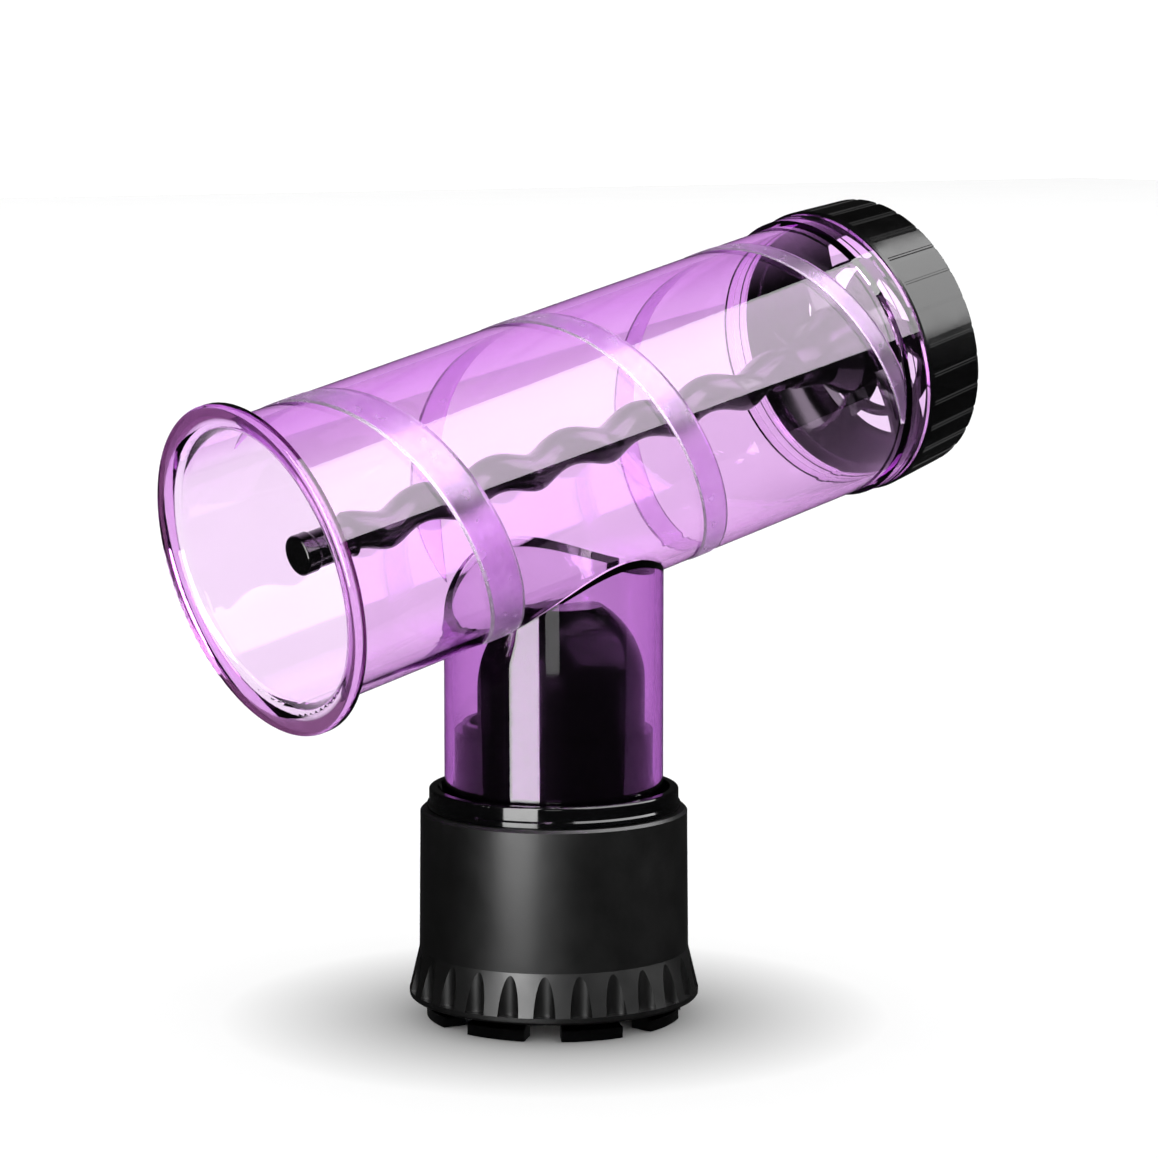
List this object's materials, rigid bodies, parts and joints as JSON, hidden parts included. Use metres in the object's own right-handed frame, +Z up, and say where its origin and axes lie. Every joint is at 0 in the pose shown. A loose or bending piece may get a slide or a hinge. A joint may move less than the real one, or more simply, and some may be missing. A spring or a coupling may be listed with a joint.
{
  "type": "hair dryer curling diffuser",
  "caption": "Clear purple T-shaped air barrel on a black clamp collar for a hair dryer, with a wavy core rod and a vented end cap.",
  "frame": {"origin": "on the neck's axis, at the level of the clamp fingers' feet and of the lower end of the nozzle clamp", "axes": "+Z up the neck; the barrel lies in the XZ plane, rising 14.1 degrees from its mouth at -X to its vented cap at +X; -Y is the side that the air guide's cowl closes"},
  "size_m": [0.1934, 0.0742, 0.1827],
  "materials": {
    "clear_purple": "clear tinted plastic, polished",
    "gloss_black": "polished black plastic",
    "satin_black": "satin black plastic",
    "black_plastic": "moulded black plastic",
    "soft_seal": "matt silicone rubber",
    "steel": "plain steel"
  },
  "bodies": {
    "housing": {"clear_barrel": "clear_purple", "clear_neck": "clear_purple", "air_guide": "black_plastic", "adapter_body": "gloss_black", "sleeve_retainer": "steel", "neck_seal": "soft_seal", "finger_pins": "steel"},
    "sleeve": {"clamp_sleeve": "satin_black"},
    "cap_core": {"vent_plug": "black_plastic", "cap_seal": "soft_seal", "core_rod": "black_plastic", "rod_tip": "gloss_black", "rod_screw": "steel", "rod_washer": "steel"},
    "cap": {"cap_ring": "gloss_black"},
    "finger_1": {"clamp_finger_1": "black_plastic", "grip_pad_1": "soft_seal"},
    "finger_2": {"clamp_finger_2": "black_plastic", "grip_pad_2": "soft_seal"},
    "finger_3": {"clamp_finger_3": "black_plastic", "grip_pad_3": "soft_seal"},
    "finger_4": {"clamp_finger_4": "black_plastic", "grip_pad_4": "soft_seal"},
    "finger_5": {"clamp_finger_5": "black_plastic", "grip_pad_5": "soft_seal"},
    "finger_6": {"clamp_finger_6": "black_plastic", "grip_pad_6": "soft_seal"},
    "finger_7": {"clamp_finger_7": "black_plastic", "grip_pad_7": "soft_seal"},
    "finger_8": {"clamp_finger_8": "black_plastic", "grip_pad_8": "soft_seal"}
  },
  "joints": [
    {"name": "sleeve_turn", "type": "hinge", "parent": "housing", "child": "sleeve", "pos_m": [0, 0, 0.03], "axis": [0, 0, -1], "range_deg": [0, 30]},
    {"name": "cap_pull", "type": "slide", "parent": "housing", "child": "cap_core", "axis": [0.9699, 0, 0.2436], "range_m": [0, 0.165]},
    {"name": "cap_turn", "type": "hinge", "parent": "cap_core", "child": "cap", "pos_m": [0, 0, 0.1265], "axis": [0.9699, 0, 0.2436], "range_deg": [0, 45]},
    {"name": "finger_1_swing", "type": "hinge", "parent": "housing", "child": "finger_1", "pos_m": [0.02337, 0.0114, 0.0365], "axis": [-0.4384, 0.8988, 0], "range_deg": [0, 5.4]},
    {"name": "finger_2_swing", "type": "hinge", "parent": "housing", "child": "finger_2", "pos_m": [0.00847, 0.02458, 0.0365], "axis": [-0.9455, 0.3256, 0], "range_deg": [0, 5.4]},
    {"name": "finger_3_swing", "type": "hinge", "parent": "housing", "child": "finger_3", "pos_m": [-0.0114, 0.02337, 0.0365], "axis": [-0.8988, -0.4384, 0], "range_deg": [0, 5.4]},
    {"name": "finger_4_swing", "type": "hinge", "parent": "housing", "child": "finger_4", "pos_m": [-0.02458, 0.00847, 0.0365], "axis": [-0.3256, -0.9455, 0], "range_deg": [0, 5.4]},
    {"name": "finger_5_swing", "type": "hinge", "parent": "housing", "child": "finger_5", "pos_m": [-0.02337, -0.0114, 0.0365], "axis": [0.4384, -0.8988, 0], "range_deg": [0, 5.4]},
    {"name": "finger_6_swing", "type": "hinge", "parent": "housing", "child": "finger_6", "pos_m": [-0.00847, -0.02458, 0.0365], "axis": [0.9455, -0.3256, 0], "range_deg": [0, 5.4]},
    {"name": "finger_7_swing", "type": "hinge", "parent": "housing", "child": "finger_7", "pos_m": [0.0114, -0.02337, 0.0365], "axis": [0.8988, 0.4384, 0], "range_deg": [0, 5.4]},
    {"name": "finger_8_swing", "type": "hinge", "parent": "housing", "child": "finger_8", "pos_m": [0.02458, -0.00847, 0.0365], "axis": [0.3256, 0.9455, 0], "range_deg": [0, 5.4]}
  ],
  "couplings": [
    {"joint": "finger_1_swing", "follows": "sleeve_turn", "ratio": 0.18},
    {"joint": "finger_2_swing", "follows": "sleeve_turn", "ratio": 0.18},
    {"joint": "finger_3_swing", "follows": "sleeve_turn", "ratio": 0.18},
    {"joint": "finger_4_swing", "follows": "sleeve_turn", "ratio": 0.18},
    {"joint": "finger_5_swing", "follows": "sleeve_turn", "ratio": 0.18},
    {"joint": "finger_6_swing", "follows": "sleeve_turn", "ratio": 0.18},
    {"joint": "finger_7_swing", "follows": "sleeve_turn", "ratio": 0.18},
    {"joint": "finger_8_swing", "follows": "sleeve_turn", "ratio": 0.18}
  ]
}
